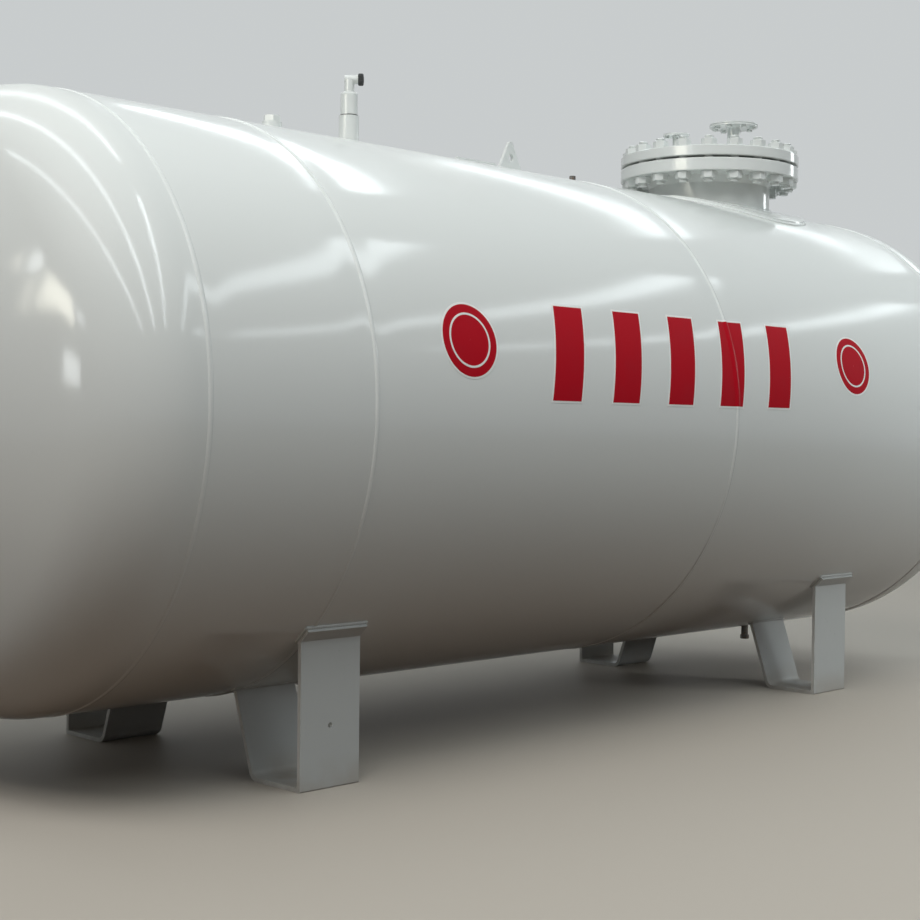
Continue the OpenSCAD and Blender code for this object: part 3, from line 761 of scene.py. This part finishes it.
# %% Ribbed cap
RIBS, RIB_DEPTH = 24, 0.09
ARM_TURN, CAP_RADIUS, CAP_LENGTH, CAP_POINTS = math.radians(-45), 0.0185, 0.017, 144
cap_low, cap_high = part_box("valve_side_cap")
cap_axis = Vector((math.cos(ARM_TURN), math.sin(ARM_TURN), 0))
cap_start = (cap_low + cap_high) / 2 - cap_axis * CAP_LENGTH / 2
cap_outline = [(CAP_RADIUS * 0.86, 0.0, False), (CAP_RADIUS * 0.96, 0.0012, True),
               (CAP_RADIUS, 0.003, True), (CAP_RADIUS, 0.0125, True),
               (CAP_RADIUS * 0.95, 0.0145, True), (CAP_RADIUS * 0.86, 0.0158, False),
               (CAP_RADIUS * 0.55, 0.0168, False), (CAP_RADIUS * 0.5, 0.0158, False)]
cap_net = turned_net(cap_start, cap_axis, cap_outline, CAP_POINTS, RIBS, RIB_DEPTH)
make_piece("valve_cap_ribbed", *cap_net, plastic, "dark_plastic", sharp=50,
           stands_for=["valve_side_cap"])

# %% [markdown]
# ## Red marks
#
# Thin film stuck to the enamel follows every dip of the plate and makes a low tent over the weld that
# it crosses. So a mark is a fine net in x and turn, put a hair over the plate, and a Solidify modifier
# gives it its thickness. A row of points just inside each edge keeps the edge's round shading to that
# edge. The row is five leaning bars, with one round spot at each side of it. Each red piece lies on a
# slightly larger white one, which shows as a thin white margin all round.

# %% Film on the plate
FILM_LIFT, FILM_THICK, MARGIN = 0.0005, 0.0003, 0.006
TENT_WIDE, TENT_TALL = 2.0 * SEAM_WIDE, SEAM_TALL + 0.0004
EDGE_ROW, FILM_SHARP = 0.0004, 80

def film_height(x, turn):
    """How far over the true cylinder the film lies: on the plate, or in a tent over a round seam."""
    near = np.min([np.abs(x - seam) for seam in SEAMS], axis=0)
    tent = TENT_TALL * np.cos(math.pi / 2 * np.clip(near / TENT_WIDE, 0, 1)) ** 2
    return FILM_LIFT - plate_drop(x, turn) + tent

def edged(start, end, count):
    """Even steps from start to end metres, with one more step just inside each end."""
    steps = np.linspace(start, end, count)
    return np.concatenate([[start, start + EDGE_ROW], steps[1:-1], [end - EDGE_ROW, end]])

def film_piece(name, x, turn, finish, wrap, level):
    """A net of film at those places; wrap closes it to a ring, level lifts it over what it lies on."""
    points = on_tank(x, turn, film_height(x, turn) + level)
    rows, columns = x.shape
    faces = net_faces(rows, columns, round_columns=wrap)
    piece = make_piece(name, points, faces, finish, None, sharp=FILM_SHARP)
    solid = piece.modifiers.new("thickness", "SOLIDIFY")
    solid.thickness, solid.offset = FILM_THICK, -1.0
    return piece

# %% Five leaning bars
ROW_START, ROW_END = -0.610, 0.586
BARS, BAR_WIDTH, LEAN = 5, 0.118, 0.055
BAR_COLUMNS, BAR_ROWS = 80, 40
BAR_LOW, BAR_HIGH = math.radians(2.0), math.radians(21.3)
pitch = (ROW_END - ROW_START - BAR_WIDTH - LEAN) / (BARS - 1)
height = RADIUS * (BAR_HIGH - BAR_LOW)
for k in range(BARS):
    for label, finish, rim, level in (("white", white_film, MARGIN, 0.0),
                                      ("red", red_film, 0.0, FILM_THICK)):
        across, up = np.meshgrid(edged(-rim, BAR_WIDTH + rim, BAR_COLUMNS),
                                 edged(-rim, height + rim, BAR_ROWS))
        x = ROW_START + k * pitch + across + LEAN * up / height
        film_piece("%s_bar_%d" % (label, k + 1), x, BAR_LOW + up / RADIUS, finish, False, level)

# %% Two round spots
SPOT_RADIUS, SPOT_HUB, SPOT_TURN = 0.0975, 0.0005, math.radians(12.9)
SPOT_PLACES = {"left": -0.914, "right": 0.941}
SPOT_ROWS, ROUND = 24, np.linspace(0, math.tau, 96, endpoint=False)
RING_INNER, RING_OUTER = 0.70 * SPOT_RADIUS, 0.76 * SPOT_RADIUS
for name, centre in SPOT_PLACES.items():
    for label, finish, inner, outer, level in (
            ("white_spot", white_film, SPOT_HUB, SPOT_RADIUS + MARGIN, 0.0),
            ("red_spot", red_film, SPOT_HUB, SPOT_RADIUS, FILM_THICK),
            ("white_ring", white_film, RING_INNER, RING_OUTER, 2 * FILM_THICK)):
        reach, turns = np.meshgrid(edged(inner, outer, SPOT_ROWS), ROUND, indexing="ij")
        x, turn = centre + reach * np.cos(turns), SPOT_TURN + reach * np.sin(turns) / RADIUS
        film_piece(label + "_" + name, x, turn, finish, True, level)

# %% [markdown]
# ## Floor and backdrop
#
# The floor is plain, pale and a shade warmer than the backdrop. The eye and the gloss see that
# colour; the light that it throws up under the tank comes from a darker one, so that the underside
# keeps its shade. The light from all round is faint at the horizon and grows towards the top, so
# shade deepens down the sides. The backdrop is a colour for seen rays, and far from the tank the
# floor turns into it, so that no view shows where the floor ends.

# %% Floor paint
SEEN_FLOOR, BOUNCE_FLOOR = (0.50, 0.455, 0.40), (0.078, 0.045, 0.025)
floor_paint = Paint("studio_floor", roughness=0.6, specular_ior_level=0.25)
floor_paint.give(base_color=floor_paint.mix(floor_paint.seen(), BOUNCE_FLOOR, SEEN_FLOOR))
BACKDROP, FADE_START, FADE_END = (0.58, 0.605, 0.61), 5.0, 15.0
reach = floor_paint.add("ShaderNodeVectorMath", {"operation": "LENGTH"}, {0: floor_paint.place}, out="Value")
fade = floor_paint.step(reach, FADE_START, FADE_END) * floor_paint.seen()
far_floor = floor_paint.add("ShaderNodeEmission", {}, {"Color": BACKDROP, "Strength": 1.0})
lit_floor = Signal(floor_paint, floor_paint.shader.outputs[0])
blend = floor_paint.add("ShaderNodeMixShader", {}, {0: fade, 1: lit_floor, 2: far_floor})
floor_paint.feed(floor_paint.tree.nodes["Material Output"].inputs["Surface"], blend)

# %% Floor
FLOOR_REACH = 40.0
floor_mesh = bpy.data.meshes.new("studio_floor")
floor_mesh.from_pydata([(-FLOOR_REACH, -FLOOR_REACH, 0), (FLOOR_REACH, -FLOOR_REACH, 0),
                        (FLOOR_REACH, FLOOR_REACH, 0), (-FLOOR_REACH, FLOOR_REACH, 0)], [], [(0, 1, 2, 3)])
floor_mesh.materials.append(floor_paint.material)
floor = bpy.data.objects.new("studio_floor", floor_mesh)
bpy.context.scene.collection.objects.link(floor)

# %% World and backdrop
DOME_LOW, DOME_HIGH, DOME_COLOUR = 0.05, 0.28, (0.91, 0.98, 1.0)
world = bpy.data.worlds.new("studio")
bpy.context.scene.world = world
world.use_nodes = True
tree = world.node_tree
around, backdrop = tree.nodes["Background"], tree.nodes.new("ShaderNodeBackground")
way_up, gradient = tree.nodes.new("ShaderNodeSeparateXYZ"), tree.nodes.new("ShaderNodeMapRange")
tree.links.new(tree.nodes.new("ShaderNodeTexCoord").outputs["Generated"], way_up.inputs[0])
tree.links.new(way_up.outputs["Z"], gradient.inputs["Value"])
gradient.inputs["To Min"].default_value, gradient.inputs["To Max"].default_value = DOME_LOW, DOME_HIGH
tree.links.new(gradient.outputs[0], around.inputs["Strength"])
around.inputs["Color"].default_value = (*DOME_COLOUR, 1)
backdrop.inputs["Color"].default_value, backdrop.inputs["Strength"].default_value = (*BACKDROP, 1), 1.0
rays, chooser = tree.nodes.new("ShaderNodeLightPath"), tree.nodes.new("ShaderNodeMixShader")
either, any_seen = tree.nodes.new("ShaderNodeMath"), tree.nodes.new("ShaderNodeMath")
either.operation = any_seen.operation = "MAXIMUM"
tree.links.new(rays.outputs["Is Camera Ray"], either.inputs[0])
tree.links.new(rays.outputs["Is Glossy Ray"], either.inputs[1])
tree.links.new(either.outputs[0], any_seen.inputs[0])
tree.links.new(rays.outputs["Is Transmission Ray"], any_seen.inputs[1])
tree.links.new(any_seen.outputs[0], chooser.inputs[0])
tree.links.new(around.outputs[0], chooser.inputs[1])
tree.links.new(backdrop.outputs[0], chooser.inputs[2])
tree.links.new(chooser.outputs[0], tree.nodes["World Output"].inputs["Surface"])
print("light from all round:", DOME_LOW, "at the horizon to", DOME_HIGH, "overhead")

# %% [markdown]
# ## Lamps
#
# The streaks on the enamel are long lights that run across the tank, seen by reflection: each ring
# shows one, and the near end bends three rows of them into arcs. Working back along the mirror rays,
# all meet a plane about five metres up, in rows two to three metres apart. Most rows are two strips
# with a gap over the tank, and on the far rows the front one lies a little further along. The warm
# patch on the near end is a group of panes beyond that end, low enough to be seen by reflection,
# and one more pane at the other end draws the bright line down the right of the manhole's neck.
# What models the round form is wide soft light, mostly from high on the left. Such a sheet would
# draw its own outline in the gloss, so rays of gloss pass it by. A small one with a narrow spread
# lifts the leg at the right. The panes and the far ends of the near rows are there for the gloss
# alone, and throw no light on the shaded side.

# %% An area lamp
COOL, WARM, PALE = (0.89, 0.975, 1.0), (1.0, 0.97, 0.82), (0.95, 1.0, 1.0)

def area_lamp(name, place, aim, wide, tall, glow, colour=COOL, mirrored=True, lighting=True,
              spread=180.0):
    """A flat lamp that faces aim; the gloss sees it if mirrored, and it gives light if lighting."""
    data = bpy.data.lights.new(name, "AREA")
    data.shape, data.size, data.size_y = "RECTANGLE", wide, tall
    data.energy, data.color, data.spread = glow * math.pi * wide * tall, colour, math.radians(spread)
    lamp = bpy.data.objects.new(name, data)
    lamp.location = place
    lamp.rotation_euler = (Vector(aim) - Vector(place)).to_track_quat("-Z", "Y").to_euler()
    lamp.visible_camera, lamp.visible_glossy, lamp.visible_diffuse = False, mirrored, lighting
    bpy.context.scene.collection.objects.link(lamp)

# %% Rows of strips
LAMP_Z = 5.0
FRONT_REACH, FRONT_END, BACK_REACH = -9.0, -1.8, 4.2
NEAR_ROWS = [(-4.4, -3.0, 2.0), (-2.5, -3.0, 2.7), (-0.8, -0.6, 6.0)]
FAR_ENDS = [(-4.4, FRONT_REACH, -3.0), (-2.5, FRONT_REACH, -3.0), (-0.8, FRONT_REACH, -1.7)]
BACK_ROWS = (1.95, 4.6, 7.55)
NEAR_WIDE, NEAR_GLOW, FAR_END_GLOW = 0.18, 6.0, 9.5
BACK_WIDE, BACK_GLOW = 0.34, 5.4
FRONT_WIDE, FRONT_GLOW, FRONT_SHIFT = 0.48, 4.0, 0.35

def strip(name, x, start, end, wide, glow, lighting=True):
    """A strip across the tank at x, from start to end along Y, that shines straight down."""
    middle = (start + end) / 2
    area_lamp(name, (x, middle, LAMP_Z), (x, middle, 0.0), wide, end - start, glow, lighting=lighting)

for k, (x, start, end) in enumerate(NEAR_ROWS):
    strip("near_strip_%d" % k, x, start, end, NEAR_WIDE, NEAR_GLOW)
for k, (x, start, end) in enumerate(FAR_ENDS):
    strip("far_end_%d" % k, x, start, end, NEAR_WIDE, FAR_END_GLOW, lighting=False)
for k, x in enumerate(BACK_ROWS):
    strip("back_strip_%d" % k, x, 0.0, BACK_REACH, BACK_WIDE, BACK_GLOW)
    strip("front_strip_%d" % k, x + FRONT_SHIFT, FRONT_REACH, FRONT_END, FRONT_WIDE, FRONT_GLOW)

# %% Panes
PANE_X = -9.0
PANES = [(-1.5, 1.15, 3.35, 4.30, 9.0, WARM), (1.45, 1.85, 4.35, 4.95, 9.0, PALE),
         (1.45, 1.75, 3.2, 4.1, 4.5, WARM), (2.2, 2.5, 4.4, 4.9, 5.0, WARM),
         (-2.9, -1.7, 3.65, 4.0, 5.0, PALE), (-2.1, -0.1, 1.5, 2.35, 6.5, PALE)]
for k, (near, far, bottom, top, glow, colour) in enumerate(PANES):
    place = (PANE_X, (near + far) / 2, (bottom + top) / 2)
    area_lamp("pane_%d" % k, place, (0.0, place[1], place[2]), far - near, top - bottom, glow, colour,
              lighting=False)
area_lamp("pane_right", (11.0, -2.0, 3.2), (MANHOLE_X, 0.0, COVER_TOP), 1.6, 1.5, 6.0, PALE, lighting=False)

# %% Soft sheets
SHEETS = [("left", (-5.7, -2.5, 7.7), (0.0, 0.0, 1.0), 5.0, 4.9, 180.0, (1.0, 0.975, 0.93)),
          ("front", (0.0, -6.4, 7.4), (0.0, 0.0, 1.0), 5.0, 2.0, 180.0, COOL),
          ("right_leg", (4.2, -5.5, 2.2), (2.0, -0.5, 0.4), 1.5, 0.5, 36.0, PALE)]
for name, place, aim, size, glow, spread, colour in SHEETS:
    area_lamp("sheet_" + name, place, aim, size, size, glow, colour, mirrored=False, spread=spread)
print("lamps:", len(bpy.data.lights))

# %% [markdown]
# ## The end
#
# Colours go to the picture as they are.

# %% Close
bpy.context.scene.view_settings.view_transform = "Standard"
